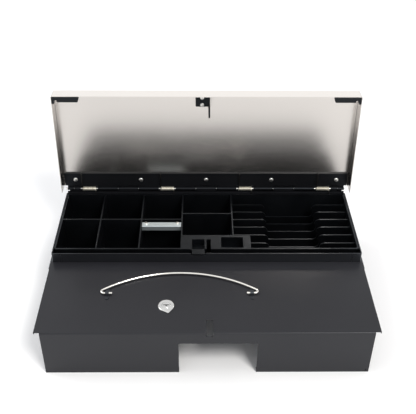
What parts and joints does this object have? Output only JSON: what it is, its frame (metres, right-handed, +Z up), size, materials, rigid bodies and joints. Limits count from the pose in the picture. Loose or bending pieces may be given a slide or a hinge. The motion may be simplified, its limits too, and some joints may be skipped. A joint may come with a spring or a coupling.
{
  "type": "flip-top cash drawer",
  "caption": "Low black steel cash drawer with a spring-opened stainless flip lid, a coin and note tray, and a separate lockable steel cover with a bail handle.",
  "frame": {"origin": "on the underside of the base, at the centre of its four fixing holes; the feet reach 3 mm below it", "axes": "+X to the right seen from the front, +Y to the rear, where the hinge is, +Z up"},
  "size_m": [0.46, 0.3126, 0.2689],
  "materials": {
    "housing_paint": "satin black powder coat",
    "cover_paint": "satin charcoal coat",
    "lid_steel": "brushed stainless sheet",
    "hinge_black": "black coated steel",
    "plated_steel": "bright zinc plate",
    "spring_wire": "yellow zinc plated wire",
    "tray_plastic": "moulded ABS, fine texture",
    "bumper_plastic": "moulded nylon",
    "bar_steel": "bright zinc plate, dulled on top",
    "latch_steel": "zinc plated steel",
    "coil_winding": "taped copper winding",
    "switch_plastic": "moulded switch case",
    "rubber": "moulded rubber",
    "socket_plastic": "moulded socket",
    "handle_wire": "bright plated wire",
    "lug_steel": "black coated steel",
    "lock_chrome": "bright chrome plate"
  },
  "bodies": {
    "housing": {"housing_tub": "housing_paint", "rim_front_strip": "housing_paint", "rim_left_strip": "housing_paint", "rim_right_strip": "housing_paint", "hinge_wall": "housing_paint", "hinge_leaf": "hinge_black", "hinge_rivets": "plated_steel", "hinge_rod": "plated_steel", "latch_frame": "latch_steel", "latch_screws": "plated_steel", "latch_pivot": "latch_steel", "solenoid_frame": "latch_steel", "solenoid_coil": "coil_winding", "plunger_spring": "spring_wire", "lid_switch": "switch_plastic", "tray_rest_left": "housing_paint", "tray_rest_right": "housing_paint", "rubber_feet": "rubber", "cable_socket": "socket_plastic", "lid_spring_1": "spring_wire", "lid_spring_2": "spring_wire", "lid_spring_3": "spring_wire", "lid_spring_4": "spring_wire"},
    "lid": {"flip_lid": "lid_steel", "hinge_rail": "hinge_black", "rail_screws": "plated_steel", "corner_bumper_left": "bumper_plastic", "corner_bumper_right": "bumper_plastic", "striker_bracket": "bumper_plastic", "striker_screws": "plated_steel", "striker_prong": "hinge_black"},
    "tray": {"insert_tray": "tray_plastic", "tray_note_bay": "tray_plastic", "tray_latch_bridge": "tray_plastic", "catch_bar": "bar_steel", "catch_bar_screws": "plated_steel"},
    "hook": {"latch_hook": "latch_steel"},
    "plunger": {"solenoid_plunger": "latch_steel"},
    "lever": {"switch_lever": "latch_steel"},
    "cover": {"cover_panel": "cover_paint", "cover_apron": "cover_paint", "cover_hem": "cover_paint", "handle_lug_left": "lug_steel", "handle_lug_right": "lug_steel", "lock_barrel": "lock_chrome", "lock_nut": "plated_steel"},
    "bail": {"bail_handle": "handle_wire"},
    "lock": {"lock_plug": "lock_chrome", "lock_cam": "plated_steel", "cam_screw": "plated_steel"}
  },
  "joints": [
    {"name": "lid_hinge", "type": "hinge", "parent": "housing", "child": "lid", "pos_m": [0, 0.0823, 0.0951], "axis": [-1, 0, 0], "range_deg": [-94, 0], "stiffness_Nm_per_rad": 0.5, "springref_deg": 28.65, "deforming": ["lid_spring_1", "lid_spring_2", "lid_spring_3", "lid_spring_4"]},
    {"name": "tray_lift", "type": "slide", "parent": "housing", "child": "tray", "axis": [0, 0, 1], "range_m": [0, 0.12]},
    {"name": "cover_lift", "type": "slide", "parent": "housing", "child": "cover", "axis": [0, 0, 1], "range_m": [0, 0.12]},
    {"name": "plunger_slide", "type": "slide", "parent": "housing", "child": "plunger", "axis": [-1, 0, 0], "range_m": [0, 0.0026], "deforming": ["plunger_spring"]},
    {"name": "hook_pivot", "type": "hinge", "parent": "housing", "child": "hook", "pos_m": [0.01, -0.063, 0.041], "axis": [0, -1, 0], "range_deg": [0, 10.7]},
    {"name": "lever_pivot", "type": "hinge", "parent": "housing", "child": "lever", "pos_m": [-0.0245, -0.063, 0.0582], "axis": [0, 1, 0], "range_deg": [0, 8], "stiffness_Nm_per_rad": 0.01, "springref_deg": -8.59},
    {"name": "bail_swing", "type": "hinge", "parent": "cover", "child": "bail", "pos_m": [-0.0386, -0.1417, 0.0756], "axis": [1, 0, 0], "range_deg": [0, 170]},
    {"name": "lock_turn", "type": "hinge", "parent": "cover", "child": "lock", "pos_m": [-0.0564, -0.1654, 0.073], "axis": [0, 0, 1], "range_deg": [-90, 0]}
  ],
  "couplings": [
    {"joint": "hook_pivot", "follows": "plunger_slide", "rad_per_m": 71.424}
  ]
}
